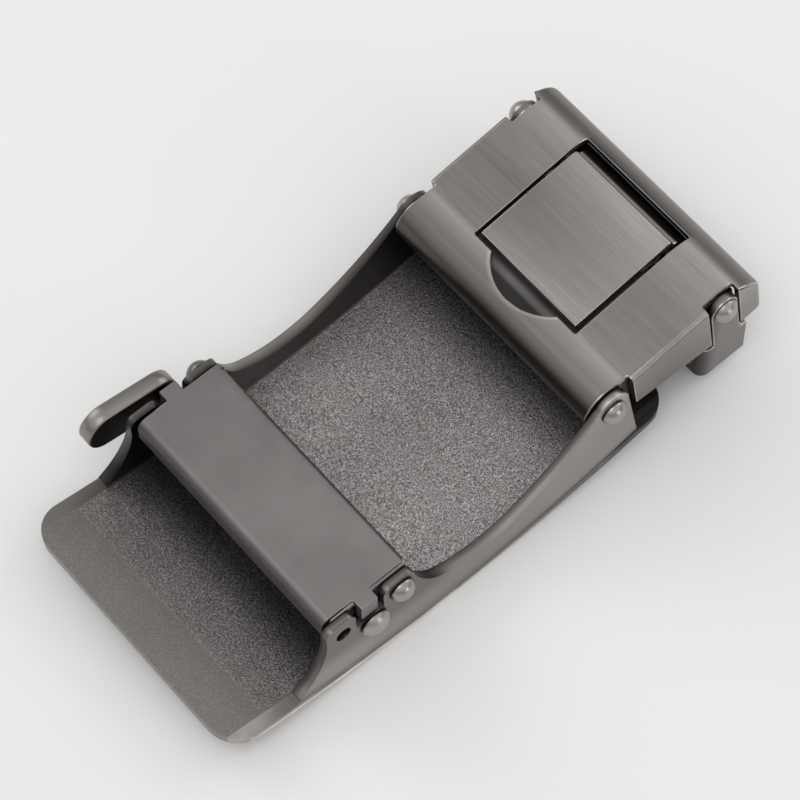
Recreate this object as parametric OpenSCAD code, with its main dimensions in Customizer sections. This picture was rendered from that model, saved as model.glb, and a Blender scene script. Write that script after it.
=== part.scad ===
// Ratchet belt buckle, seen from the back as it lies on its bowed face plate.
// Millimetres, Z up. The origin is the lowest line of the bowed face, at the
// middle of the plate's length and width. X runs along the belt to the clamp.

/* [Face plate] */
// Length of the face plate along the belt
plate_l = 72.3; // [70:0.1:75]
// Width of the face plate across the belt
plate_w = 40; // [38:0.5:44]
// Thickness of the face plate
plate_t = 1.6; // [1.3:0.1:1.9]
// How far the plate's ends rise above its belly
bow_h = 4.6; // [4:0.1:5]
// Corner radius at the free end
corner_r = 4.5; // [2:0.5:7]
// Corner radius at the clamp end
clamp_corner_r = 3.5; // [2:0.5:5]
// Width of the bevel along the plate's front rim
rim_bevel = 0.4; // [0.2:0.1:0.6]

/* [Side walls] */
// Thickness of each side wall at its foot
wall_t = 1.85; // [1.7:0.05:2.1]
// Inward lean of the walls' outer faces
wall_lean = 3.4; // [2.8:0.1:4]
// Height of the lobe at the free end
lobe_l_top = 15.4; // [15:0.1:15.8]
// How much lower the cover pin's lobe is
lobe_step = 0.5; // [0:0.1:0.8]
// Diameter of the small hole in the free end's lobe
lobe_hole_d = 2.2; // [1.6:0.1:2.4]

/* [Ratchet] */
// Width of the cover along the belt
cover_l = 13.35; // [13:0.05:13.6]
// Thickness of the cover's sheet
cover_t = 1.3; // [1:0.1:1.5]
// Diameter of the pawl's shaft
shaft_d = 2.2; // [1.8:0.1:2.4]
// Thickness of the release lever
lever_t = 2.4; // [2:0.1:2.6]
// Length of the release lever
lever_l = 14.1; // [12:0.1:16]
// Height of the release lever's blade
lever_h = 6.2; // [5.6:0.1:6.8]

/* [Clamp] */
// Upward slope of the clamp frame
frame_tilt = 9.5; // [8.5:0.5:10.5]
// Thickness of the clamp frame's sheet
sheet_t = 1; // [0.8:0.1:1.1]
// Width of the square flap
flap_w = 17.7; // [16:0.1:20]
// Gap between the flap and its window
flap_gap = 0.6; // [0.45:0.05:0.8]
// Diameter of the hinge pin and the flap pin
pin_d = 2.2; // [1.8:0.1:2.4]
// Diameter of the domed pin heads
head_d = 3.7; // [3.4:0.1:3.8]

/* [Hidden] */
$fn = 96;

// Clearances: between sliding faces, round running pins, to merge solids
side_play = 0.2;
run_fit = 0.05;
eps = 0.01;

// Reach of the cuts, past everything on the piece
beyond = 60;

// Plate
bow_r = (plate_l * plate_l / 4 + bow_h * bow_h) / (2 * bow_h);
half_w = plate_w / 2;

// Walls: the outer face leans in from the rim, the inner face is upright
wall_in = half_w - wall_t;
wall_base_z = 1.5;
foot_x0 = -25.6;
foot_x1 = 31.2;
lobe_foot_z = 12.2;
lobe_r_top = lobe_l_top - lobe_step;
notch_x0 = -15.6;
notch_x1 = -11.2;
lobe_hole_drop = 2.8;
lobe_x1 = -6.2;
lobe_x0 = -20.2;
lobe_round = 1.2;
lobe_hole_x = -17.6;
ear_r = 2.6;

// Ratchet
cover_x0 = -19.6;
cover_x1 = cover_x0 + cover_l;
cover_top = lobe_l_top + 0.25;
cover_half = wall_in - 0.5;
cover_round = 1.3;
cover_skirt = 3.6;
cover_lip = 1.6;
cover_pin_x = -8.4;
cover_pin_drop = 2.95;
cover_pin_z = cover_top - cover_pin_drop;
notch_drop = 4.05;
notch_z = cover_top - notch_drop;
cheek_t = 1;
cheek_half = wall_in - side_play;
tab_x0 = -14.7;
tab_x1 = -12.1;
tab_t = 1.1;
tab_out = wall_in + 1.2;
tab_drop = 3.2;
pawl_x = -12.9;
pawl_drop = 1.8;
pawl_z = notch_z - pawl_drop;
pawl_r = 2;
pawl_tip_x = -8.6;
pawl_tip_z = pawl_z - 2;
shaft_head_d = 4.5;
lever_in = half_w + 0.5;
lever_shift = 1.2;
lever_up = 1.1;
lever_slope = 11.3;

// Clamp
hinge_x = 26.3;
hinge_z = 15;
nose_r = 3.6;
barrel_r = nose_r - sheet_t - side_play;
crease_x = 29;
crease_z = hinge_z + nose_r + 0.05;
nose_half = wall_in - side_play;
frame_half = wall_in + 0.85;
frame_end = 22;
roll_r = 6.5;
window_u0 = -0.4;
window_u1 = frame_end - 3.2;
frame_depth = 11.45;
frame_corner = 1;
flange_round = 0.7;
flange_u0 = 0.5;
flange_w0 = -7.55;
flange_w1 = -11.1;
slot_u1 = frame_end - 3.75;
slot_u0 = slot_u1 - 4.9;
thumb_r = 7.6;
thumb_deep = 3.1;
pin_u = (slot_u0 + slot_u1) / 2;
pin_w = -3.05;
flap_rise = 0.4;
flap_t = 1.4;
flap_round = 0.8;
flap_u0 = 0.2;
flap_u1 = pin_u + 0.8;
flap_barrel_r = 2.4;
cam_r = 2.9;
cam_at = [1.1, -2.1];
cam_half = flap_w / 2 + 2.6;
tooth_t = 1.5;
tooth_l = 10.1;
jaw_bottom = 2.2;
jaw_t = 1.1;
jaw_back = 2.54;
jaw_front = 5.31;
jaw_corner = 1.4;
jaw_shoulder = 9.2;
jaw_lip = 3.9;
jaw_floor_t = 1.2;
bracket_t = 1;
bracket_half = frame_half - sheet_t - side_play;
arm_top_w = -2.4;
arm_low_w = -5.2;
arm_root_u = 1.5;
arm_root_w = -7.2;
head_h = 1.4;
web_t = 1;
web_w = flap_rise - flap_t - side_play;
web_u1 = 11.5;

// Solid drawn flat in X and Z and given a thickness from y0 to y1
module across(y0, y1) {
    translate([0, y1, 0]) rotate([90, 0, 0]) linear_extrude(y1 - y0) children();
}

// The same solid on both sides of the belt
module both_sides(y0, y1) {
    across(y0, y1) children();
    across(-y1, -y0) children();
}

// Point given along the clamp's sheet (u) and square to it (w)
function cl(u, w) = [
    crease_x + u * cos(frame_tilt) - w * sin(frame_tilt),
    crease_z + u * sin(frame_tilt) + w * cos(frame_tilt)
];

// Centre and radius of the circle through three points
function circle_through(a, b, c) =
    let (d = 2 * (a.x * (b.y - c.y) + b.x * (c.y - a.y) + c.x * (a.y - b.y)),
         aa = a * a, bb = b * b, cc = c * c,
         x = (aa * (b.y - c.y) + bb * (c.y - a.y) + cc * (a.y - b.y)) / d,
         y = (aa * (c.x - b.x) + bb * (a.x - c.x) + cc * (b.x - a.x)) / d)
    [x, y, norm([x, y] - a)];

// Hollow in a wall's top edge, an arc from a through b to c
module hollow(a, b, c) {
    k = circle_through(a, b, c);
    intersection() {
        translate([k[0], k[1]]) circle(r = k[2], $fn = 180);
        translate([a.x, 0]) square([c.x - a.x, beyond]);
    }
}

// Distance from the middle to the outer wall face at height z
function wall_out(z) = half_w - (z - wall_base_z) * tan(wall_lean);

pin_at = cl(pin_u, pin_w);
jaw_x0 = pin_at.x - jaw_back;
jaw_x1 = pin_at.x + jaw_front;

// Place solids drawn in the clamp's own axes
module clamp_axes() {
    translate([crease_x, 0, crease_z]) rotate([0, -frame_tilt, 0]) children();
}

// Low dome standing on the face y = half, at one side or the other
module dome(side, half, d) {
    cap_r = (d * d / 4 + head_h * head_h) / (2 * head_h);
    scale([1, side, 1]) translate([0, half, 0]) rotate([-90, 0, 0]) rotate_extrude()
        intersection() {
            translate([0, head_h - cap_r]) circle(r = cap_r, $fn = 180);
            square([d, head_h + 1]);
        }
}

// A pin across the belt with a low dome at each end
module domed_pin(d, half) {
    across(-half - eps, half + eps) circle(d = d);
    dome(1, half, head_d);
    dome(-1, half, head_d);
}

// Corner of a square outline, to be cut away to round it
module corner_cut(x, y, sx, sy, r) {
    translate([x, y]) scale([sx, sy]) difference() {
        translate([-1, -1]) square(r + 1);
        translate([r, r]) circle(r = r);
    }
}

// Outline of the plate seen from above
module plate_plan() {
    half_l = plate_l / 2;
    difference() {
        translate([-half_l, -half_w]) square([plate_l, plate_w]);
        for (s = [-1, 1]) {
            corner_cut(-half_l, s * half_w, 1, -s, corner_r);
            corner_cut(half_l, s * half_w, -1, -s, clamp_corner_r);
        }
    }
}

// Bowed slab turned about the axis of the bow, bevelled along its front rim
module bow_slab() {
    translate([0, 0, bow_r]) rotate([90, 0, 0]) rotate_extrude($fn = 360)
        polygon([
            [bow_r - plate_t, -half_w],
            [bow_r - rim_bevel, -half_w],
            [bow_r, -half_w + rim_bevel],
            [bow_r, half_w - rim_bevel],
            [bow_r - rim_bevel, half_w],
            [bow_r - plate_t, half_w]
        ]);
}

// Side view of a wall: foot, two lobes, low waist and hinge ear
module wall_outline() {
    ear = [hinge_x + 0.05, hinge_z + 0.5];
    difference() {
        union() {
            polygon([
                [foot_x0 + 0.5, 1], [foot_x0, 3.4], [foot_x0 + 0.5, 4.3], [lobe_x0, lobe_foot_z],
                [lobe_x0, lobe_l_top], [notch_x0, lobe_l_top], [notch_x0, notch_z],
                [notch_x1, notch_z], [notch_x1, lobe_r_top], [lobe_x1, lobe_r_top],
                [lobe_x1, 13.5], [-3.2, 8.5], [10.5, 7.25], [24, 16.7],
                [ear.x, ear.y + ear_r], [ear.x + ear_r, ear.y],
                [foot_x1 - 0.5, 4.6], [foot_x1, 1]
            ]);
            translate(ear) circle(r = ear_r);
        }
        hollow([foot_x0 + 0.3, 4.2], [foot_x0 + 3.3, 7], [lobe_x0, lobe_foot_z]);
        hollow([lobe_x1, 13.5], [-4.9, 10.6], [-3.2, 8.5]);
        hollow([-3.2, 8.5], [4, 6.05], [10.5, 7.25]);
        hollow([10.5, 7.25], [18, 11.4], [24, 16.7]);
        corner_cut(lobe_x0, lobe_l_top, 1, -1, lobe_round);
        corner_cut(notch_x0, lobe_l_top, -1, -1, lobe_round);
        corner_cut(notch_x1, lobe_r_top, 1, -1, lobe_round);
        corner_cut(lobe_x1, lobe_r_top, -1, -1, lobe_round);
        translate([ear.x + 0.2, ear.y + 0.2]) difference() {
            square(4);
            translate([-0.2, -0.2]) circle(r = ear_r);
        }
        translate([lobe_hole_x, lobe_l_top - lobe_hole_drop]) circle(d = lobe_hole_d);
        translate([pawl_x, pawl_z]) circle(d = shaft_d + 2 * run_fit);
        translate([cover_pin_x, cover_pin_z]) circle(d = pin_d + 2 * run_fit);
        translate([hinge_x, hinge_z]) circle(d = pin_d + 2 * run_fit);
    }
}

// Face plate with its two walls, cast in one
module face_plate() {
    color("dimgray") {
        intersection() {
            bow_slab();
            translate([0, 0, -1]) linear_extrude(bow_h + plate_t + 3) plate_plan();
        }
        intersection() {
            both_sides(wall_in, half_w + 1) wall_outline();
            union() {
                for (s = [-1, 1]) scale([1, s, 1])
                    translate([-beyond, half_w, wall_base_z]) rotate([wall_lean, 0, 0])
                        translate([0, -half_w / 2, -half_w])
                            cube([2 * beyond, half_w / 2, beyond]);
            }
            translate([0, half_w + 1, bow_r]) rotate([90, 0, 0])
                cylinder(r = bow_r - plate_t / 2, h = plate_w + 2, $fn = 360);
        }
    }
}

// Cover over the pawl: a sheet bent down at both edges, a tab at each end
module ratchet_cover() {
    color("gray") difference() {
        union() {
            across(-cover_half, cover_half) difference() {
                translate([cover_x0, cover_top - cover_skirt])
                    square([cover_l, cover_skirt]);
                translate([cover_x0 + cover_t, cover_top - cover_skirt - 1])
                    square([cover_l - 2 * cover_t, cover_skirt + 1 - cover_t]);
                translate([cover_x0 + cover_t, cover_top - cover_skirt - 1])
                    square([cover_l, cover_skirt + 1 - cover_lip]);
                corner_cut(cover_x0, cover_top, 1, -1, cover_round);
                corner_cut(cover_x1, cover_top, -1, -1, cover_t);
            }
            both_sides(cheek_half - cheek_t, cheek_half) cheek_outline();
            both_sides(cover_half - eps, tab_out) translate([tab_x0, cover_top - tab_t])
                square([tab_x1 - tab_x0, tab_t]);
            both_sides(tab_out - tab_t, tab_out) translate([tab_x0, cover_top - tab_drop])
                square([tab_x1 - tab_x0, tab_drop]);
        }
        both_sides(cheek_half - cheek_t - 1, cheek_half + 1)
            translate([cover_pin_x, cover_pin_z]) circle(d = pin_d + 2 * run_fit);
    }
}

// Cheek inside each wall that the cover pin passes through
module cheek_outline() {
    translate([cover_pin_x, cover_pin_z]) circle(r = pin_d / 2 + 0.9);
    translate([cover_x0 + cover_round, cover_top - cover_t])
        square([cover_l - cover_round - cover_t, cover_t - 0.5]);
    translate([cover_pin_x - pin_d / 2 - 0.9, cover_pin_z])
        square([pin_d + 1.8, cover_top - cover_pin_z - 0.5]);
}

module cover_pin() {
    color("silver") translate([cover_pin_x, 0, cover_pin_z])
        domed_pin(pin_d, wall_out(cover_pin_z - head_d / 2) + 0.02);
}

// Pawl: a sleeve on the shaft with a blade that reaches down to the strap
module pawl() {
    color("darkgray") across(-wall_in + 3 * side_play, wall_in - 3 * side_play)
        difference() {
            union() {
                translate([pawl_x, pawl_z]) circle(r = pawl_r);
                polygon([
                    [pawl_x + 0.2, pawl_z - pawl_r + 0.1],
                    [pawl_tip_x - 0.4, pawl_tip_z],
                    [pawl_tip_x + 0.5, pawl_tip_z + 0.2],
                    [pawl_x + pawl_r - 0.3, pawl_z + 0.6]
                ]);
            }
            translate([pawl_x, pawl_z]) circle(d = shaft_d);
        }
}

// Release lever outside the far wall, in one piece with the pawl's shaft
module release_lever() {
    r = lever_h / 2;
    near = wall_out(pawl_z - shaft_head_d / 2) + 0.02;
    color("gray") {
        across(lever_in, lever_in + lever_t)
            translate([pawl_x - lever_shift, pawl_z + lever_up]) rotate(180 - lever_slope) {
                circle(r = r);
                translate([0, -r]) square([lever_l - lever_h, lever_h]);
                translate([lever_l - lever_h, 0]) circle(r = r);
            }
        translate([pawl_x, 0, pawl_z]) {
            across(-near - eps, lever_in + eps) circle(d = shaft_d);
            dome(-1, near, shaft_head_d);
        }
    }
}

module hinge_pin() {
    color("silver") translate([hinge_x, 0, hinge_z])
        domed_pin(pin_d, wall_out(hinge_z - head_d / 2) + 0.02);
}

// Inner bracket: a sleeve on the hinge pin and two arms out to the flap pin
module clamp_bracket() {
    color("dimgray") difference() {
        union() {
            across(-nose_half + side_play, nose_half - side_play)
                translate([hinge_x, hinge_z]) circle(r = barrel_r);
            both_sides(bracket_half - bracket_t, bracket_half) polygon([
                [hinge_x - 0.8, hinge_z - barrel_r + 0.1],
                [hinge_x, hinge_z + barrel_r],
                cl(0.3, -sheet_t - side_play), cl(pin_u, -sheet_t - side_play),
                cl(slot_u1, arm_top_w), cl(slot_u1, arm_low_w), cl(arm_root_u, arm_root_w)
            ]);
            across(-bracket_half, bracket_half) polygon([
                [hinge_x - 0.8, hinge_z + barrel_r - 0.2], [hinge_x - 0.2, hinge_z + barrel_r],
                cl(-0.4, web_w), cl(web_u1, web_w), cl(web_u1, web_w - web_t),
                cl(0, web_w - web_t), [hinge_x, hinge_z + barrel_r - web_t]
            ]);
        }
        across(-half_w, half_w) {
            translate([hinge_x, hinge_z]) circle(d = pin_d + 2 * run_fit);
            translate(pin_at) circle(d = pin_d);
        }
    }
}

// Side view of the frame's sheet, moved in by a distance
module frame_outline(inset) {
    r = nose_r - inset;
    translate([hinge_x, hinge_z]) circle(r = r);
    difference() {
        polygon([
            [hinge_x - r, hinge_z], [hinge_x, hinge_z + r], [crease_x, crease_z - inset],
            cl(frame_end - inset, -inset), cl(frame_end - inset, -frame_depth - 3),
            cl(3, -frame_depth - 3), [hinge_x - r, hinge_z - 9]
        ]);
        translate(cl(frame_end - inset, -inset)) rotate(frame_tilt)
            corner_cut(0, 0, -1, -1, roll_r - inset);
    }
}

// Frame: sheet rolled over the hinge and at the belt's mouth, flanged sides
module clamp_frame() {
    color("silver") difference() {
        union() {
            across(-nose_half, nose_half) sheet_section();
            across(-frame_half, frame_half) intersection() {
                sheet_section();
                past_ears();
            }
            both_sides(frame_half - sheet_t, frame_half) difference() {
                intersection() {
                    frame_outline(0);
                    past_ears();
                }
                frame_waste();
            }
        }
        clamp_axes() {
            for (s = [-1, 1]) {
                translate([-2, 0, 0]) rotate([90, 0, 90]) linear_extrude(frame_end + 4)
                    corner_cut(s * frame_half, 0, -s, -1, flange_round);
                translate([0, 0, -beyond / 2]) linear_extrude(beyond)
                    corner_cut(frame_end, s * frame_half, -1, -s, frame_corner);
            }
            translate([window_u0, -flap_w / 2 - flap_gap, -5])
                cube([window_u1 - window_u0, flap_w + 2 * flap_gap, 10]);
            for (s = [-1, 1]) scale([1, s, 1])
                translate([slot_u0, frame_half - jaw_t - side_play, -beyond / 2])
                    cube([slot_u1 - slot_u0, 2 * (jaw_t + side_play), beyond]);
            translate([window_u0 - thumb_deep + thumb_r, 0, -5]) cylinder(r = thumb_r, h = 12);
        }
    }
}

// Side view of the bent sheet itself
module sheet_section() {
    difference() {
        frame_outline(0);
        frame_outline(sheet_t);
        frame_waste();
    }
}

// Everything to the mouth's side of the flanges' inner ends
module past_ears() {
    polygon([cl(flange_u0, 8), cl(frame_end + 5, 8), cl(frame_end + 5, -20), cl(flange_u0, -20)]);
}

// What is cut off below the frame's edges
module frame_waste() {
    polygon([
        [hinge_x - 8, hinge_z - 0.6], cl(flange_u0 - 0.5, -4),
        cl(flange_u0 - 0.5, flange_w0), cl(slot_u0 + 1, flange_w1),
        cl(slot_u1 - 1, -frame_depth),
        cl(frame_end + 2, -frame_depth), cl(frame_end + 2, -30), [hinge_x - 8, -10]
    ]);
    corner_at = cl(frame_end, -frame_depth);
    translate(corner_at) rotate(frame_tilt) corner_cut(0, 0, -1, 1, 1.2);
}

// Jaw under the belt: tray with two ears that hang on the flap pin
module lower_jaw() {
    color("gray") difference() {
        union() {
            intersection() {
                across(-frame_half, frame_half) translate([jaw_x0, jaw_bottom])
                    square([jaw_x1 - jaw_x0, jaw_shoulder - jaw_bottom]);
                translate([0, 0, jaw_bottom - 1]) linear_extrude(beyond) difference() {
                    translate([jaw_x0, -frame_half])
                        square([jaw_x1 - jaw_x0, 2 * frame_half]);
                    for (s = [-1, 1])
                        corner_cut(jaw_x0, s * frame_half, 1, -s, jaw_corner);
                }
            }
            both_sides(frame_half - jaw_t, frame_half) jaw_ear();
        }
        translate([jaw_x0 + jaw_t, -frame_half + jaw_t, jaw_bottom + jaw_floor_t])
            cube([beyond, 2 * (frame_half - jaw_t), beyond]);
        translate([jaw_x0 - 1, -frame_half + jaw_t + 1, jaw_lip])
            cube([beyond, 2 * (frame_half - jaw_t - 1), beyond]);
        across(-half_w, half_w) translate(pin_at) circle(d = pin_d);
        across(-half_w, half_w) polygon([
            [jaw_x1 + 1, jaw_bottom - 1], [jaw_x1, jaw_bottom],
            [jaw_x1 - 0.3, jaw_shoulder + 1], [jaw_x1 + 1, jaw_shoulder + 1]
        ]);
    }
}

// Ear of the jaw, standing in the frame's slot
module jaw_ear() {
    play = side_play + 0.05;
    r = (slot_u1 - slot_u0) / 2 - play;
    translate(pin_at) circle(r = r);
    polygon([
        cl(slot_u0 + play, pin_w), cl(slot_u1 - play, pin_w),
        cl(slot_u1 - play, -12), [jaw_x1 - 1, jaw_shoulder - 0.5],
        [jaw_x0 + 1.8, jaw_shoulder - 0.5]
    ]);
}

module flap_pin() {
    color("silver") translate([pin_at.x, 0, pin_at.y])
        domed_pin(pin_d, frame_half + 0.02);
}

// Flap: square plate, cam sleeve on the flap pin and the toothed edge below it
module flap_lever() {
    color("silver") difference() {
        union() {
            across(-flap_w / 2, flap_w / 2) translate(pin_at) circle(r = flap_barrel_r);
            across(-cam_half, cam_half) translate(pin_at + cam_at) circle(r = cam_r);
            clamp_axes() rotate([90, 0, 0]) translate([0, 0, -flap_w / 2])
                linear_extrude(flap_w) difference() {
                    translate([flap_u0, flap_rise - flap_t])
                        square([flap_u1 - flap_u0, flap_t]);
                    corner_cut(flap_u1, flap_rise, -1, -1, flap_round);
                }
            across(-flap_w / 2, flap_w / 2) tooth_outline();
        }
        across(-flap_w, flap_w) translate(pin_at) circle(d = pin_d + 2 * run_fit);
    }
}

// Edge that bites the belt, pointing down from the flap pin
module tooth_outline() {
    left = 0.2 - flap_barrel_r;
    polygon([
        pin_at + [left, -0.3], pin_at + [left + tooth_t, -0.3],
        pin_at + [left + tooth_t, 0.8 - tooth_l], pin_at + [left + 0.4, -tooth_l]
    ]);
}

face_plate();
ratchet_cover();
cover_pin();
pawl();
release_lever();
hinge_pin();
clamp_bracket();
clamp_frame();
lower_jaw();
flap_pin();
flap_lever();
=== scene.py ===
import math

import bpy
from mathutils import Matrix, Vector

MM = 0.001

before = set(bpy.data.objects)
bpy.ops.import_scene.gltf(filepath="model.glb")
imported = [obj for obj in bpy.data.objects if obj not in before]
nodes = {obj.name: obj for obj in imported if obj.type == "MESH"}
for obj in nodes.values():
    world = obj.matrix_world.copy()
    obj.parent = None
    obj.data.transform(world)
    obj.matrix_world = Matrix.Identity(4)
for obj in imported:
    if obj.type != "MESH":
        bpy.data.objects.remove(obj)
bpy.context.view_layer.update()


# Node helpers

def new_material(name):
    """A material with one shader, and the place on the piece that its patterns follow."""
    mat = bpy.data.materials.new(name)
    mat.use_nodes = True
    tree = mat.node_tree
    tree.nodes.clear()
    out = tree.nodes.new("ShaderNodeOutputMaterial")
    shader = tree.nodes.new("ShaderNodeBsdfPrincipled")
    tree.links.new(shader.outputs["BSDF"], out.inputs["Surface"])
    coords = tree.nodes.new("ShaderNodeTexCoord")
    return mat, tree, shader, coords.outputs["Object"]


def put(tree, socket, value):
    """Sets a socket to a number or links an output to it."""
    if isinstance(value, bpy.types.NodeSocket):
        tree.links.new(value, socket)
    elif value is not None:
        socket.default_value = value


def math_node(tree, kind, a, b=None):
    n = tree.nodes.new("ShaderNodeMath")
    n.operation = kind
    put(tree, n.inputs[0], a)
    put(tree, n.inputs[1], b)
    return n.outputs[0]


def times(tree, first, *others):
    """All the factors multiplied."""
    product = first
    for factor in others:
        product = math_node(tree, "MULTIPLY", product, factor)
    return product


def plus(tree, a, b):
    return math_node(tree, "ADD", a, b)


def minus(tree, a, b):
    return math_node(tree, "SUBTRACT", a, b)


def below(tree, value, limit):
    return math_node(tree, "LESS_THAN", value, limit)


def above(tree, value, limit):
    return math_node(tree, "GREATER_THAN", value, limit)


def away(tree, value, middle):
    """Distance of a value from a middle."""
    return math_node(tree, "ABSOLUTE", minus(tree, value, middle))


def radius(tree, a, b):
    """Length of the line whose parts along two axes are given."""
    squares = plus(tree, math_node(tree, "POWER", a, 2.0), math_node(tree, "POWER", b, 2.0))
    return math_node(tree, "SQRT", squares)


def remap(tree, value, from_lo, from_hi, to_lo, to_hi, smooth=False):
    """A value taken from one range to another and held at its ends."""
    n = tree.nodes.new("ShaderNodeMapRange")
    if smooth:
        n.interpolation_type = "SMOOTHSTEP"
    put(tree, n.inputs["Value"], value)
    ends = {"From Min": from_lo, "From Max": from_hi, "To Min": to_lo, "To Max": to_hi}
    for end, number in ends.items():
        put(tree, n.inputs[end], number)
    return n.outputs["Result"]


def ramp(tree, place, span, tones, smooth=False):
    """Tone that goes from the first to the second over a span in millimetres."""
    return remap(tree, place, span[0] * MM, span[1] * MM, tones[0], tones[1], smooth)


def only_on(tree, mask, tone):
    """The tone where the mask is 1, and a plain 1 where the mask is 0."""
    return remap(tree, mask, 0, 1, 1, tone)


def stretched(tree, coords, scale):
    n = tree.nodes.new("ShaderNodeMapping")
    n.inputs["Scale"].default_value = scale
    tree.links.new(coords, n.inputs["Vector"])
    return n.outputs["Vector"]


def noise(tree, vector, scale, detail, rough=0.5):
    n = tree.nodes.new("ShaderNodeTexNoise")
    n.inputs["Scale"].default_value = scale
    n.inputs["Detail"].default_value = detail
    n.inputs["Roughness"].default_value = rough
    tree.links.new(vector, n.inputs["Vector"])
    return n.outputs["Fac"]


def blend_colour(tree, fac, a, b):
    n = tree.nodes.new("ShaderNodeMix")
    n.data_type = "RGBA"
    put(tree, n.inputs["Factor"], fac)
    colour_ins = [s for s in n.inputs if s.type == "RGBA"]
    for socket, colour in zip(colour_ins, (a, b)):
        put(tree, socket, colour if isinstance(colour, bpy.types.NodeSocket) else (*colour, 1))
    return [s for s in n.outputs if s.type == "RGBA"][0]


def scaled(tree, colour, factor):
    """A colour times a number that varies over the piece."""
    n = tree.nodes.new("ShaderNodeVectorMath")
    n.operation = "SCALE"
    tree.links.new(colour, n.inputs[0])
    put(tree, n.inputs["Scale"], factor)
    return n.outputs[0]


def bump(tree, height, strength, distance, under=None):
    n = tree.nodes.new("ShaderNodeBump")
    n.inputs["Strength"].default_value = strength
    n.inputs["Distance"].default_value = distance
    tree.links.new(height, n.inputs["Height"])
    put(tree, n.inputs["Normal"], under)
    return n.outputs["Normal"]


def axes_of(tree, coords):
    n = tree.nodes.new("ShaderNodeSeparateXYZ")
    tree.links.new(coords, n.inputs[0])
    return n.outputs["X"], n.outputs["Y"], n.outputs["Z"]


def finish_metal(tree, shader, colour, roughness, normal):
    put(tree, shader.inputs["Base Color"], colour)
    put(tree, shader.inputs["Roughness"], roughness)
    put(tree, shader.inputs["Normal"], normal)
    shader.inputs["Metallic"].default_value = 1.0


# Metals: gunmetal plating, satin, brushed or grained, most with a light and a dark colour

PLATE_PAIR = (0.27, 0.25, 0.239), (0.235, 0.217, 0.208)
COVER_PAIR = (0.272, 0.252, 0.247), (0.24, 0.2215, 0.217)
PIN_PAIR = (0.4, 0.376, 0.363), (0.34, 0.319, 0.308)
# Very dark colour of the pawl and bracket inside: painted shade
INNER_SHADE_PAIR = (0.085, 0.081, 0.079), (0.06, 0.057, 0.056)
# Lighter colour of the rounded edges: a painted highlight
EDGE_HIGHLIGHT_PAIR = (0.42, 0.392, 0.376), (0.32, 0.299, 0.287)
LEVER_PAIR = (0.3, 0.2775, 0.265), (0.25, 0.231, 0.22)
BRUSHED_PAIR = (0.35, 0.322, 0.303), (0.27, 0.248, 0.233)
# Painted shade on the surfaces inside the clamp
CLAMP_INSIDE_SHADE = (0.075, 0.071, 0.068)
# Grain: its dark hollows are painted shade and its bright specks painted glints
GRAIN_HOLLOW_SHADE = (0.11, 0.102, 0.1)
GRAIN_HIGH = (0.52, 0.482, 0.478)
GRAIN_GLINT = (0.9, 0.84, 0.83)

# Least and most roughness of the satin finishes
COVER_ROUGH = (0.42, 0.5)
PIN_ROUGH = (0.28, 0.36)
INNER_ROUGH = (0.4, 0.55)
EDGE_HIGHLIGHT_ROUGH = (0.2, 0.3)
LEVER_ROUGH = (0.3, 0.4)

# The part of a noise's values that nearly all of its points lie in
NOISE_SPAN = (0.3, 0.7)

# The slow change of tone and the fine unevenness, which is finer and stronger on the cover
# and the jaw; scales are in waves over a metre
BROAD_SCALE = 160
BROAD_DETAIL = 3
FINE_SCALE = 3600
FINE_DETAIL = 2
FINE_STRENGTH = 0.05
FINE_DEPTH = 0.05 * MM
COVER_FINE_SCALE = 6000
COVER_FINE_STRENGTH = 0.1

# Shading of the finger lever as if its edge were rounder, in height over distance squared
ROUNDING = 230
ROUND_REACH = 1.2 * MM


def satin(name, colours, rough, fine_scale=FINE_SCALE, strength=FINE_STRENGTH, tone=None,
          round_y=None):
    """Even plating; tone gives painted shade and light over the piece, round_y the middle of rounder
    shading.
    """
    mat, tree, shader, coords = new_material(name)
    axes = axes_of(tree, coords)
    broad = noise(tree, coords, BROAD_SCALE, BROAD_DETAIL)
    fine = noise(tree, coords, fine_scale, FINE_DETAIL)
    light, dark = colours
    metal = blend_colour(tree, remap(tree, broad, *NOISE_SPAN, 0, 1), dark, light)
    if tone is not None:
        metal = scaled(tree, metal, tone(tree, *axes))
    normal = bump(tree, fine, strength, FINE_DEPTH)
    if round_y is not None:
        within = math_node(tree, "MINIMUM", away(tree, axes[1], round_y), ROUND_REACH)
        height = times(tree, math_node(tree, "POWER", within, 2.0), -ROUNDING)
        normal = bump(tree, height, 1.0, 1.0, normal)
    finish_metal(tree, shader, metal, remap(tree, broad, *NOISE_SPAN, *rough), normal)
    return mat


# Painted shade and highlights below: a span in millimetres, then the factor on the metal's colour at
# its two ends

LEVER_MIDDLE_Y = 21.73 * MM
LEVER_INNER_SHADE = (20.52, 20.56), (0.25, 1)
SHAFT_END_HIGHLIGHT = 1.4
COVER_BEND_SHADE = (-19.7, -18.3), (0.48, 1)
COVER_FAR_SHADE = (0, 16), (1.02, 0.87)
JAW_FRONT = (42.6, 45), (0.3, 0.96)
FAR_HEAD_SHADE = 0.5
WEB_X = 28.2 * MM
WEB_HIGHLIGHT_BAND = (0.15, 0.9), (2.2, 0.65)


def lever_shade_and_highlight(tree, x, y, z):
    """Painted shade on the side that faces the wall, painted highlight on the shaft's near end."""
    return remap(tree, below(tree, y, 0.0), 0, 1, ramp(tree, y, *LEVER_INNER_SHADE), SHAFT_END_HIGHLIGHT)


def cover_shade(tree, x, y, z):
    """Painted shade where the cover bends down over the strap's way in, and a little towards its far
    end.
    """
    return times(tree, ramp(tree, x, *COVER_BEND_SHADE, smooth=True), ramp(tree, y, *COVER_FAR_SHADE))


def jaw_tone(tree, x, y, z):
    """Darker on the jaw's rounded front, which the frame shades."""
    return ramp(tree, x, *JAW_FRONT)


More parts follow.
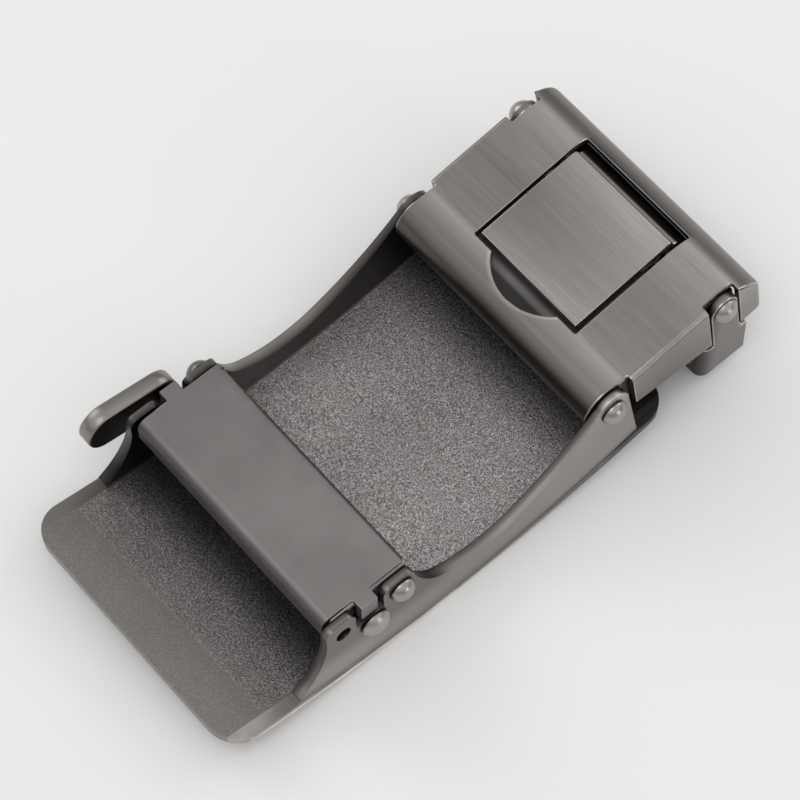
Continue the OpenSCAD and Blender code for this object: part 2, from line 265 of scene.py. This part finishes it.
def pin_shade(tree, x, y, z):
    """Painted shade on the cover pin's far head."""
    on_head = times(tree, below(tree, x, 0.0), above(tree, y, 0.0))
    return only_on(tree, on_head, FAR_HEAD_SHADE)


def bracket_highlight(tree, x, y, z):
    """Painted highlight: a lighter band along the web in the thumb notch."""
    return ramp(tree, away(tree, x, WEB_X), *WEB_HIGHLIGHT_BAND, smooth=True)


# Brushed sheet of the clamp: places along it (u) and square to it (w), from its crease

CREASE = Vector((29.0, 0.0, 18.65)) * MM
TILT = math.radians(9.5)
# Where the painted shade inside the clamp reaches
END_BEND_U = 15.5 * MM
END_BEND_W = -6.5 * MM
END_BEND_INNER = (5.6, 5.85), (1, 0)
NOSE_INNER = (0.6, 1.2), (0, 1)
CLAMP_INNER_HALF = 17.95 * MM
SHEET_HALF = 18.8 * MM
# Painted shade and light on the nose, rolled end, flanges and window's lip; painted highlights at
# crease and notch
NOSE_ROOT_SHADE = (22.8, 23.8), (0.2, 0.38)
NOSE_TOP_SPAN = (24.6, 28.0)
NOSE_TOP_LIGHT = 1.17
PAST_NOSE_SPAN = (28.3, 29.3)
SHEET_TONE = 0.97
END_ROLL_SHADE = (17.6, 19.2), (1, 0.4)
FLANGE_SHADE = (-8, -1.5), (0.55, 0.77)
CREASE_U = -0.4 * MM
CREASE_HIGHLIGHT = (0.1, 0.8), (1.15, 1)
NOTCH_U = 4.1 * MM
NOTCH_HIGHLIGHT = (7.8, 8.3), (1.55, 1)
WINDOW_END = 18.8
WINDOW_HALF = 9.45 * MM
WINDOW_LIP_SHADE = (WINDOW_END, WINDOW_END + 0.9), (0.3, 1)
WINDOW_LIP_START = (WINDOW_END - 0.6) * MM

# Painted light: a slow change of tone over frame and flap about a place on X: the curve and
# slope along X, the slope along Y, the level and the most that it reaches
LIGHT_DRIFT_X = 37 * MM
FRAME_LIGHT_DRIFT = (4822, 18.6, -2.3, 0.907, 1.45)
FLAP_LIGHT_DRIFT = (7395, 18.8, -18.7, 0.982, 1.5)

# Brushing: lines far longer along Y than across, and a slower drift between them
LINE_SCALE = (8500, 120, 8500)
LINE_DETAIL = 3
LINE_ROUGH = 0.6
LINE_SHARE = 0.7
BAND_SCALE = (500, 60, 500)
BAND_DETAIL = 2
BAND_SHARE = 0.3
BRUSHING_SPAN = (0.34, 0.66)
BRUSHING_DEPTH = 0.03 * MM
BRUSHING_STRENGTH = 0.12
BRUSHED_ROUGH = (0.28, 0.4)

# Share taken off both ends of the brushing's contrast, from the nose to the flat sheet
CALM_NOSE = (26, 29.5), (0.3, 0)


def clamp_uw(tree, x, z):
    """Distances along the clamp's sheet from its crease, and square to it."""
    dx = minus(tree, x, CREASE.x)
    dz = minus(tree, z, CREASE.z)
    u = plus(tree, times(tree, dx, math.cos(TILT)), times(tree, dz, math.sin(TILT)))
    w = minus(tree, times(tree, dz, math.cos(TILT)), times(tree, dx, math.sin(TILT)))
    return u, w


def clamp_shade_mask(tree, x, y, z):
    """1 on the surfaces inside the clamp, which get no brushing and a dark painted shade."""
    u, w = clamp_uw(tree, x, z)
    past_bend = math_node(tree, "MAXIMUM", minus(tree, u, END_BEND_U), 0.0)
    over_bend = math_node(tree, "MAXIMUM", minus(tree, w, END_BEND_W), 0.0)
    under = ramp(tree, radius(tree, past_bend, over_bend), *END_BEND_INNER)
    between = below(tree, away(tree, y, 0.0), CLAMP_INNER_HALF)
    return times(tree, under, ramp(tree, u, *NOSE_INNER), between)


def light_drift_of(tree, x, y, curve, slope, across, level, most):
    """Painted light and shade: a slow change of tone over a sheet, curved along X, even along Y."""
    dx = minus(tree, x, LIGHT_DRIFT_X)
    along = times(tree, dx, plus(tree, times(tree, dx, curve), slope))
    over = plus(tree, times(tree, y, across), level)
    return math_node(tree, "MINIMUM", plus(tree, along, over), most)


def nose_shade_and_light(tree, x):
    """Painted shade where the rolled end turns down to the hinge, painted light towards the crease.
    """
    root = ramp(tree, x, *NOSE_ROOT_SHADE)
    nose = ramp(tree, x, NOSE_TOP_SPAN, (root, NOSE_TOP_LIGHT))
    return ramp(tree, x, PAST_NOSE_SPAN, (nose, SHEET_TONE), smooth=True)


def frame_shade_and_highlights(tree, x, y, z):
    """Painted shade on the rolled ends, flanges and window's lip; painted highlight at crease and
    notch.
    """
    u, w = clamp_uw(tree, x, z)
    crease = ramp(tree, away(tree, u, CREASE_U), *CREASE_HIGHLIGHT, smooth=True)
    from_notch = radius(tree, minus(tree, u, NOTCH_U), y)
    notch_highlight = ramp(tree, from_notch, *NOTCH_HIGHLIGHT, smooth=True)
    by_window = below(tree, away(tree, y, 0.0), WINDOW_HALF)
    on_lip = times(tree, by_window, above(tree, u, WINDOW_LIP_START))
    lip = only_on(tree, on_lip, ramp(tree, u, *WINDOW_LIP_SHADE, smooth=True))
    end_roll_shade = ramp(tree, u, *END_ROLL_SHADE, smooth=True)
    top = times(tree, crease, notch_highlight, lip, nose_shade_and_light(tree, x), end_roll_shade)
    on_top = below(tree, away(tree, y, 0.0), SHEET_HALF)
    return remap(tree, on_top, 0, 1, ramp(tree, w, *FLANGE_SHADE), top)


def brushed(name, light_drift, tone=None):
    """Fine lines across the belt, along Y, with a painted light drift over it and painted shade
    inside.
    """
    mat, tree, shader, coords = new_material(name)
    x, y, z = axes_of(tree, coords)
    lines = noise(tree, stretched(tree, coords, LINE_SCALE), 1.0, LINE_DETAIL, LINE_ROUGH)
    bands = noise(tree, stretched(tree, coords, BAND_SCALE), 1.0, BAND_DETAIL)
    mixed = plus(tree, times(tree, lines, LINE_SHARE), times(tree, bands, BAND_SHARE))
    calm = ramp(tree, x, *CALM_NOSE)
    light, dark = BRUSHED_PAIR
    fac = remap(tree, mixed, *BRUSHING_SPAN, calm, minus(tree, 1.0, calm))
    metal = blend_colour(tree, fac, dark, light)
    metal = scaled(tree, metal, light_drift_of(tree, x, y, *light_drift))
    if tone is not None:
        metal = scaled(tree, metal, tone(tree, x, y, z))
    # Painted shade inside the clamp
    metal = blend_colour(tree, clamp_shade_mask(tree, x, y, z), metal, CLAMP_INSIDE_SHADE)
    roughness = remap(tree, mixed, *NOISE_SPAN, *BRUSHED_ROUGH)
    finish_metal(tree, shader, metal, roughness, bump(tree, lines, BRUSHING_STRENGTH, BRUSHING_DEPTH))
    return mat


# Face plate: depth is the distance in from its bowed outer face

PLATE_LENGTH = 72.3 * MM
BOW_HEIGHT = 4.6 * MM
BOW_R = (PLATE_LENGTH ** 2 / 4 + BOW_HEIGHT ** 2) / (2 * BOW_HEIGHT)
CHANNEL_HALF = 18.1 * MM
FLOOR_DEPTH = 1.9 * MM
WALL_DEPTH = 2.1 * MM

# Grain of the floor, which starts at the end's smooth strip
STRIP_X = -29.9
GRAIN_START = (STRIP_X, STRIP_X + 0.5), (0.25, 0.6)
GRAIN_GROWTH = (STRIP_X, STRIP_X + 7), (0, 0.4)
GRAIN_SCALE = 4600
GRAIN_DETAIL = 2
GRAIN_ROUGH = 0.8
GRAIN_SPAN = (0.37, 0.65)
GLINT_SPAN = (0.62, 0.76)
GRAIN_STRENGTH = 0.9
GRAIN_DEPTH = 0.12 * MM

# Painted shade on the floor along X, and painted light from its middle to its sides
COVER_SHADE_ON_FLOOR = (-26, -17.8), (1.02, 0.2)
OPEN_FLOOR_LIGHT = (1, 16), (1.0, 0.92)
TO_CLAMP_SPAN = (17.5, 26.3)
CLAMP_SHADE = 0.22
FLOOR_MIDDLE_Y = 3 * MM
FLOOR_SIDES_LIGHT = (1, 11), (0.92, 1.08)
UNDER_COVER_SPAN = (-14, -6)
UNDER_CLAMP_SHADE = (24, 29), (1, 0.4)

# Walls: inner face, then the outer face's place at two heights
WALL_INNER_Y = 18.15 * MM
WALL_OUTER_SPAN = (1.5, 18)
WALL_OUTER_Y = (20 * MM, 19.02 * MM)
# Painted shade and light on the walls, and a painted highlight on the near ear's top
WALL_THROUGH_SPAN = (0.02, 0.7)
WALL_INNER_SHADE = 0.3
FAR_FOOT_SHADE = (-24, -18), (0.3, 0.56)
FAR_WAIST_LIGHT = (-4, 16), (1.35, 0.52)
FAR_LOBE_SPAN = (-8, -4)
EAR_TOP_HIGHLIGHT = (15.5, 17.6), (1, 1.5)
EAR_X = 20 * MM
NEAR_FACE_Y = -18.9 * MM
NEAR_ROOT_SHADE = (1.9, 3.2), (0.88, 1.18)
WAIST_X = 2 * MM
NEAR_FACE_ENDS_LIGHT = (4, 16), (0.96, 1.15)
NEAR_LOBE_TOP_SHADE = (5.2, 8), (1, 0.57)
NEAR_LOBE_SPAN = (-3, 1)

# Painted shade in the small holes in the lobes at the free end
HOLE_X = -17.6 * MM
HOLE_Z = 12.6 * MM
HOLE_REACH = 1.12 * MM
HOLE_SHADE = 0.25

# Near ledge beside the channel, with an uneven painted highlight
LEDGE_Y = -18.2 * MM
LEDGE_NOISE_SPAN = (0.35, 0.65)
LEDGE_HIGHLIGHT_TONES = (1.05, 1.65)
LEDGE_END = (-26, -20), (1.35, 1)

# Rim: a painted highlight line round the plate's edge, and a painted shade line where the near wall
# starts
RIM_Y = 19.8 * MM
RIM_DEPTH = 0.58 * MM
RIM_LINE = (0.24, 0.4), (1, 0)
RIM_START = (-33, -27), (0.3, 1)
RIM_HIGHLIGHT = (-6, 22), (2.6, 0.45)
ROOT_DEPTH = 1.4 * MM
ROOT_LINE = (0.35, 0.55), (1, 0)
ROOT_START = (-23, -19), (0, 1)
ROOT_SHADE = 0.62

PLATE_BROAD_SCALE = 140
PLATE_ROUGH = (0.32, 0.44)


def depth_of(tree, x, z):
    """Distance in from the plate's bowed outer face."""
    return minus(tree, BOW_R, radius(tree, x, minus(tree, BOW_R, z)))


def grain_colour(tree, grain):
    """Painted shade in the dark hollows, light tops and a few bright specks of painted glint."""
    metal = blend_colour(tree, remap(tree, grain, *GRAIN_SPAN, 0, 1), GRAIN_HOLLOW_SHADE, GRAIN_HIGH)
    return blend_colour(tree, remap(tree, grain, *GLINT_SPAN, 0, 1), metal, GRAIN_GLINT)


def floor_shade(tree, x, y):
    """Painted shade on the channel's floor, darker towards the cover and towards the clamp."""
    open_floor = ramp(tree, x, *OPEN_FLOOR_LIGHT)
    to_clamp = ramp(tree, x, TO_CLAMP_SPAN, (open_floor, CLAMP_SHADE), smooth=True)
    to_clamp = times(tree, to_clamp, ramp(tree, away(tree, y, FLOOR_MIDDLE_Y), *FLOOR_SIDES_LIGHT))
    to_cover = ramp(tree, x, *COVER_SHADE_ON_FLOOR, smooth=True)
    return ramp(tree, x, UNDER_COVER_SPAN, (to_cover, to_clamp), smooth=True)


def far_wall_shade(tree, x):
    """The far wall is seen from inside: painted shade on its foot and lobes, painted light on its
    waist.
    """
    foot = ramp(tree, x, *FAR_FOOT_SHADE, smooth=True)
    waist = ramp(tree, x, *FAR_WAIST_LIGHT)
    return ramp(tree, x, FAR_LOBE_SPAN, (foot, waist), smooth=True)


def near_face_shade(tree, x, depth):
    """The near wall's outer face: painted shade along its root and at the lobes' tops."""
    face = ramp(tree, depth, *NEAR_ROOT_SHADE, smooth=True)
    face = times(tree, face, ramp(tree, away(tree, x, WAIST_X), *NEAR_FACE_ENDS_LIGHT))
    lobe_top = ramp(tree, depth, *NEAR_LOBE_TOP_SHADE)
    return times(tree, face, ramp(tree, x, NEAR_LOBE_SPAN, (lobe_top, 1)))


def wall_shade_and_light(tree, x, y, z, depth, across_y):
    """Painted shade on both walls, darkest on their inner faces, and a painted highlight on the ear's
    top.
    """
    outer_y = ramp(tree, z, WALL_OUTER_SPAN, WALL_OUTER_Y)
    thickness = minus(tree, outer_y, WALL_INNER_Y)
    through = math_node(tree, "DIVIDE", minus(tree, across_y, WALL_INNER_Y), thickness)
    inner = remap(tree, through, *WALL_THROUGH_SPAN, WALL_INNER_SHADE, 1)
    far = only_on(tree, above(tree, y, 0.0), far_wall_shade(tree, x))
    on_ear = times(tree, below(tree, y, 0.0), above(tree, x, EAR_X))
    ear_highlight = only_on(tree, on_ear, ramp(tree, z, *EAR_TOP_HIGHLIGHT))
    near = only_on(tree, below(tree, y, NEAR_FACE_Y), near_face_shade(tree, x, depth))
    return times(tree, inner, far, ear_highlight, near)


def hole_shade(tree, x, z):
    """Painted shade inside the lobes' small holes."""
    from_hole = radius(tree, minus(tree, x, HOLE_X), minus(tree, z, HOLE_Z))
    return only_on(tree, below(tree, from_hole, HOLE_REACH), HOLE_SHADE)


def ledge_highlight(tree, x, y, on_floor, broad):
    """Uneven painted highlight on the near ledge at the free end."""
    ledge = times(tree, below(tree, y, LEDGE_Y), on_floor, below(tree, x, 0.0))
    uneven_highlight = remap(tree, broad, *LEDGE_NOISE_SPAN, *LEDGE_HIGHLIGHT_TONES)
    return only_on(tree, ledge, times(tree, uneven_highlight, ramp(tree, x, *LEDGE_END)))


def rim_highlight_and_root_shade(tree, x, y, depth, across_y):
    """Painted highlight line along the plate's edge, painted shade line along the near wall's root.
    """
    line = ramp(tree, away(tree, depth, RIM_DEPTH), *RIM_LINE)
    rim = times(tree, line, above(tree, across_y, RIM_Y), ramp(tree, x, *RIM_START))
    root_line = ramp(tree, away(tree, depth, ROOT_DEPTH), *ROOT_LINE)
    root = times(tree, root_line, below(tree, y, NEAR_FACE_Y), ramp(tree, x, *ROOT_START))
    light = only_on(tree, rim, ramp(tree, x, *RIM_HIGHLIGHT))
    return times(tree, light, only_on(tree, root, ROOT_SHADE))


def plate_metal(name):
    """Satin plating with a pebble grain inside the channel, and painted shade and highlights over it.
    """
    mat, tree, shader, coords = new_material(name)
    x, y, z = axes_of(tree, coords)
    broad = noise(tree, coords, PLATE_BROAD_SCALE, BROAD_DETAIL)
    fine = noise(tree, coords, FINE_SCALE, FINE_DETAIL)
    grain = noise(tree, coords, GRAIN_SCALE, GRAIN_DETAIL, GRAIN_ROUGH)
    across_y = away(tree, y, 0.0)
    depth = depth_of(tree, x, z)

    on_floor = below(tree, depth, FLOOR_DEPTH)
    in_channel = times(tree, below(tree, across_y, CHANNEL_HALF), on_floor)
    grown = plus(tree, ramp(tree, x, *GRAIN_START), ramp(tree, x, *GRAIN_GROWTH))
    mask = times(tree, in_channel, grown)
    light, dark = PLATE_PAIR
    smooth_metal = blend_colour(tree, remap(tree, broad, *NOISE_SPAN, 0, 1), dark, light)
    metal = blend_colour(tree, mask, smooth_metal, grain_colour(tree, grain))

    # Painted shade and highlights over the face plate
    tone = times(
        tree,
        only_on(tree, in_channel, floor_shade(tree, x, y)),
        # Painted shade on the floor under the clamp
        only_on(tree, on_floor, ramp(tree, x, *UNDER_CLAMP_SHADE, smooth=True)),
        only_on(tree, above(tree, depth, WALL_DEPTH), wall_shade_and_light(tree, x, y, z, depth, across_y)),
        hole_shade(tree, x, z),
        ledge_highlight(tree, x, y, on_floor, broad),
        rim_highlight_and_root_shade(tree, x, y, depth, across_y),
    )
    even = bump(tree, fine, FINE_STRENGTH, FINE_DEPTH)
    normal = bump(tree, times(tree, mask, grain), GRAIN_STRENGTH, GRAIN_DEPTH, even)
    roughness = remap(tree, broad, *NOISE_SPAN, *PLATE_ROUGH)
    finish_metal(tree, shader, scaled(tree, metal, tone), roughness, normal)
    return mat


# Finish of each piece

mat_plate = plate_metal("plate_metal")
cover_look = (COVER_PAIR, COVER_ROUGH, COVER_FINE_SCALE, COVER_FINE_STRENGTH)
mat_cover = satin("cover_satin", *cover_look, cover_shade)
mat_jaw = satin("jaw_satin", *cover_look, jaw_tone)
mat_pin = satin("pin_satin", PIN_PAIR, PIN_ROUGH, tone=pin_shade)
# Painted shade on the pawl and bracket, with a painted highlight on the bracket's web
mat_inner_shade = satin("inner_metal_shaded", INNER_SHADE_PAIR, INNER_ROUGH, tone=bracket_highlight)
# Painted highlight on the rounded edges of most pieces
mat_edge_highlight = satin("edge_highlight", EDGE_HIGHLIGHT_PAIR, EDGE_HIGHLIGHT_ROUGH)
mat_lever = satin("lever_satin", LEVER_PAIR, LEVER_ROUGH, tone=lever_shade_and_highlight, round_y=LEVER_MIDDLE_Y)
mat_frame = brushed("frame_brushed", FRAME_LIGHT_DRIFT, frame_shade_and_highlights)
mat_flap = brushed("flap_brushed", FLAP_LIGHT_DRIFT)

FINISH = {
    "face_plate": (mat_plate, "plated_cast"),
    "lower_jaw": (mat_jaw, "plated_cast"),
    "pawl": (mat_inner_shade, "plated_cast"),
    "clamp_bracket": (mat_inner_shade, "plated_cast"),
    "ratchet_cover": (mat_cover, "satin_sheet"),
    "cover_pin": (mat_pin, "satin_pin"),
    "hinge_pin": (mat_pin, "satin_pin"),
    "flap_pin": (mat_pin, "satin_pin"),
    "release_lever": (mat_lever, "satin_pin"),
    "clamp_frame": (mat_frame, "brushed_sheet"),
    "flap_lever": (mat_flap, "brushed_sheet"),
}

# Width of each piece's rounded edges in millimetres
BEVEL = {
    "face_plate": 0.28, "lower_jaw": 0.2, "pawl": 0.1, "clamp_bracket": 0.1,
    "ratchet_cover": 0.2, "cover_pin": 0.08, "hinge_pin": 0.08, "flap_pin": 0.08,
    "release_lever": 0.3, "clamp_frame": 0.2, "flap_lever": 0.22,
}
BEVEL_SEGMENTS = 2

# Pieces whose rounded edges may not overlap, and pieces whose edges keep the piece's own metal
CLAMPED = {"face_plate"}
# Pieces in OWN_EDGE get no painted highlight on their rounded edges
OWN_EDGE = {"release_lever", "face_plate", "ratchet_cover", "pawl", "clamp_bracket"}

# Angles between faces: the largest that is shaded smooth, the least that is rounded, and the
# largest that counts as flat
SMOOTH_ANGLE = math.radians(32)
BEVEL_ANGLE = math.radians(34)
FLAT_ANGLE = math.radians(0.6)
WELD_REACH = 0.002 * MM


def smooth_by_angle():
    """Node group that smooths all but the sharp edges."""
    g = bpy.data.node_groups.new("smooth_by_angle", "GeometryNodeTree")
    g.interface.new_socket("Geometry", in_out="INPUT", socket_type="NodeSocketGeometry")
    g.interface.new_socket("Geometry", in_out="OUTPUT", socket_type="NodeSocketGeometry")
    g_in = g.nodes.new("NodeGroupInput")
    g_out = g.nodes.new("NodeGroupOutput")
    faces = g.nodes.new("GeometryNodeSetShadeSmooth")
    faces.domain = "FACE"
    faces.inputs["Shade Smooth"].default_value = True
    edges = g.nodes.new("GeometryNodeSetShadeSmooth")
    edges.domain = "EDGE"
    edges.inputs["Shade Smooth"].default_value = False
    angle = g.nodes.new("GeometryNodeInputMeshEdgeAngle")
    sharp = g.nodes.new("FunctionNodeCompare")
    sharp.data_type = "FLOAT"
    sharp.operation = "GREATER_THAN"
    sharp.inputs[1].default_value = SMOOTH_ANGLE
    g.links.new(angle.outputs["Unsigned Angle"], sharp.inputs[0])
    g.links.new(sharp.outputs[0], edges.inputs["Selection"])
    g.links.new(g_in.outputs[0], faces.inputs["Geometry"])
    g.links.new(faces.outputs[0], edges.inputs["Geometry"])
    g.links.new(edges.outputs[0], g_out.inputs[0])
    return g


smooth_group = smooth_by_angle()


def finish_node(name):
    """Welds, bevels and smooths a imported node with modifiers, and gives it its finish."""
    o = nodes[name]
    mat, slot = FINISH[name]
    o.data.materials.clear()
    o.data.materials.append(mat)
    o.data.materials.append(mat_edge_highlight)
    if o.data.has_custom_normals:
        o.data.attributes.remove(o.data.attributes["custom_normal"])
    weld = o.modifiers.new("weld", "WELD")
    weld.merge_threshold = WELD_REACH
    flat = o.modifiers.new("flat", "DECIMATE")
    flat.decimate_type = "DISSOLVE"
    flat.angle_limit = FLAT_ANGLE
    edge = o.modifiers.new("edge", "BEVEL")
    edge.width = BEVEL[name] * MM
    edge.segments = BEVEL_SEGMENTS
    edge.limit_method = "ANGLE"
    edge.angle_limit = BEVEL_ANGLE
    edge.miter_outer = "MITER_ARC"
    edge.use_clamp_overlap = name in CLAMPED
    # Rounded edges take the painted highlight unless the piece keeps its own metal
    edge.material = 0 if name in OWN_EDGE else 1
    smooth = o.modifiers.new("smooth", "NODES")
    smooth.node_group = smooth_group
    weight = o.modifiers.new("weight", "WEIGHTED_NORMAL")
    weight.keep_sharp = True


for node_name in FINISH:
    finish_node(node_name)


# Floor, light and camera

FLOOR_COLOUR = (0.855, 0.855, 0.848, 1)
FLOOR_ROUGH = 0.75
FLOOR_SIZE = 6
FLOOR_PLACE = (0.2, 0.2, -0.00002)

# Area lights, all turned to one point: place, size and power of each
LIT_POINT = Vector((0.01, 0, 0))
AREA_LIGHTS = {
    "key": ((-0.22, -0.12, 0.72), 0.4, 0.9),
    "box_right": ((0.62, -0.05, 0.34), 0.4, 0.7),
    "box_left": ((-0.1, 0.62, 0.36), 0.4, 0.9),
    "box_front": ((0.22, -0.66, 0.16), 0.2, 0.4),
}

# The sky's strength low down and overhead, and its share round the way that flat tops mirror
SKY_LOW = 0.25
SKY_FULL = 0.88
SKY_FULL_HEIGHT = 0.75
SKY_DIM = 0.76
SKY_DIM_TOWARDS = Vector((0.292, 0.338, 0.895))
SKY_DIM_INNER = math.radians(20)
SKY_DIM_OUTER = math.radians(55)

# Camera as fitted to the photo, with its lens and sensor in millimetres
CAMERA_PLACE = Vector((-0.11178, -0.13870, 0.37997))
CAMERA_TARGET = Vector((0.01228, 0.00487, 0.0))
CAMERA_LENS = 148.2
CAMERA_SENSOR = 36
CAMERA_NEAR = 0.01
CAMERA_FAR = 20


def aimed(name, data, place, target):
    """A light or camera at a place, turned towards a target."""
    o = bpy.data.objects.new(name, data)
    o.location = place
    o.rotation_mode = "QUATERNION"
    o.rotation_quaternion = (target - place).to_track_quat("-Z", "Y")
    bpy.context.scene.collection.objects.link(o)
    return o


def backdrop():
    bpy.ops.mesh.primitive_plane_add(size=FLOOR_SIZE, location=FLOOR_PLACE)
    floor = bpy.context.object
    floor.name = "floor"
    mat, _, shader, _ = new_material("floor_white")
    shader.inputs["Base Color"].default_value = FLOOR_COLOUR
    shader.inputs["Roughness"].default_value = FLOOR_ROUGH
    floor.data.materials.append(mat)


def area_light(name, place, size, power):
    data = bpy.data.lights.new(name, "AREA")
    data.energy = power
    data.size = size
    aimed(name, data, Vector(place), LIT_POINT)


def world_light():
    """White light from above over a darker horizon, dimmer round one direction."""
    world = bpy.data.worlds.new("world")
    world.use_nodes = True
    tree = world.node_tree
    back = tree.nodes["Background"]
    back.inputs["Color"].default_value = (1, 1, 1, 1)
    coords = tree.nodes.new("ShaderNodeTexCoord")
    direction = coords.outputs["Generated"]
    dot = tree.nodes.new("ShaderNodeVectorMath")
    dot.operation = "DOT_PRODUCT"
    tree.links.new(direction, dot.inputs[0])
    dot.inputs[1].default_value = SKY_DIM_TOWARDS.normalized()
    outer = math.cos(SKY_DIM_OUTER)
    inner = math.cos(SKY_DIM_INNER)
    height = axes_of(tree, direction)[2]
    strength = remap(tree, height, 0.0, SKY_FULL_HEIGHT, SKY_LOW, SKY_FULL, smooth=True)
    share = remap(tree, dot.outputs["Value"], outer, inner, 1.0, SKY_DIM, smooth=True)
    tree.links.new(times(tree, strength, share), back.inputs["Strength"])
    bpy.context.scene.world = world


def camera():
    data = bpy.data.cameras.new("camera")
    data.lens = CAMERA_LENS
    data.sensor_width = CAMERA_SENSOR
    data.dof.use_dof = False
    data.clip_start = CAMERA_NEAR
    data.clip_end = CAMERA_FAR
    bpy.context.scene.camera = aimed("camera", data, CAMERA_PLACE, CAMERA_TARGET)


backdrop()
for light_name, setting in AREA_LIGHTS.items():
    area_light(light_name, *setting)
world_light()
bpy.context.scene.view_settings.view_transform = "Standard"
camera()
